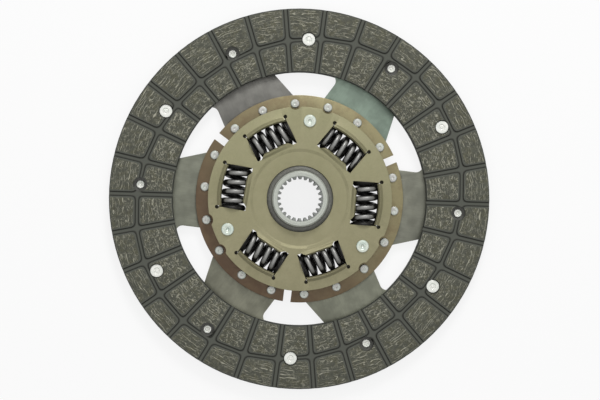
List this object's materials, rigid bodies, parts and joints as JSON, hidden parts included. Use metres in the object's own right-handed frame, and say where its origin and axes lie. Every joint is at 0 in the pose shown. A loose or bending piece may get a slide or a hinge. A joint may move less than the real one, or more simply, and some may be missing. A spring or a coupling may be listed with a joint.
{
  "type": "clutch disc",
  "caption": "Round vehicle clutch disc: grooved friction facings on spring segments, and a splined hub sprung against two plates by coil springs.",
  "frame": {"origin": "on the disc's axis, halfway between the two facings", "axes": "+Z along the axis towards the cover plate's side; +X to the right and +Y up in the picture"},
  "size_m": [0.225, 0.225, 0.0217],
  "materials": {
    "facing": "moulded organic friction lining with pale fibre streaks, matte",
    "segment": "thin spring steel, satin grey-green",
    "disc_plate": "hardened sheet steel with brown and straw temper colours",
    "cover_plate": "hardened sheet steel, dull olive-gold",
    "rivet": "bright upset steel",
    "stop_pin": "bright upset steel",
    "bush": "dark moulded bush, matte",
    "friction_washer": "pressed friction material, matte",
    "thrust_plate": "plain sheet steel",
    "hub": "machined steel, light grey",
    "spring": "black oiled spring wire with grey shine"
  },
  "bodies": {
    "disc": {"front_facing": "facing", "rear_facing": "facing", "cushion_segment_1": "segment", "cushion_segment_2": "segment", "cushion_segment_3": "segment", "cushion_segment_4": "segment", "cushion_segment_5": "segment", "cushion_segment_6": "segment", "front_facing_rivets": "rivet", "rear_facing_rivets": "rivet", "ring_rivets": "rivet", "disc_plate": "disc_plate", "cover_plate": "cover_plate", "stop_pin_1": "stop_pin", "stop_pin_2": "stop_pin", "stop_pin_3": "stop_pin", "rear_bush": "bush", "front_bush": "bush", "rear_friction_washer": "friction_washer", "front_friction_washer": "friction_washer", "thrust_plate": "thrust_plate", "cone_spring": "thrust_plate"},
    "hub": {"hub": "hub"},
    "springs": {"damper_spring_1": "spring", "damper_spring_2": "spring", "damper_spring_3": "spring", "damper_spring_4": "spring", "damper_spring_5": "spring", "damper_spring_6": "spring"}
  },
  "joints": [
    {"name": "damper_twist", "type": "hinge", "parent": "disc", "child": "hub", "pos_m": [0, 0, 0.00567], "axis": [0, 0, 1], "range_deg": [-8, 8], "stiffness_Nm_per_rad": 6},
    {"name": "spring_follow", "type": "hinge", "parent": "disc", "child": "springs", "pos_m": [0, 0, 0.00567], "axis": [0, 0, 1], "range_deg": [-4, 4], "deforming": ["damper_spring_1", "damper_spring_2", "damper_spring_3", "damper_spring_4", "damper_spring_5", "damper_spring_6"]}
  ],
  "couplings": [
    {"joint": "spring_follow", "follows": "damper_twist", "ratio": 0.5}
  ]
}
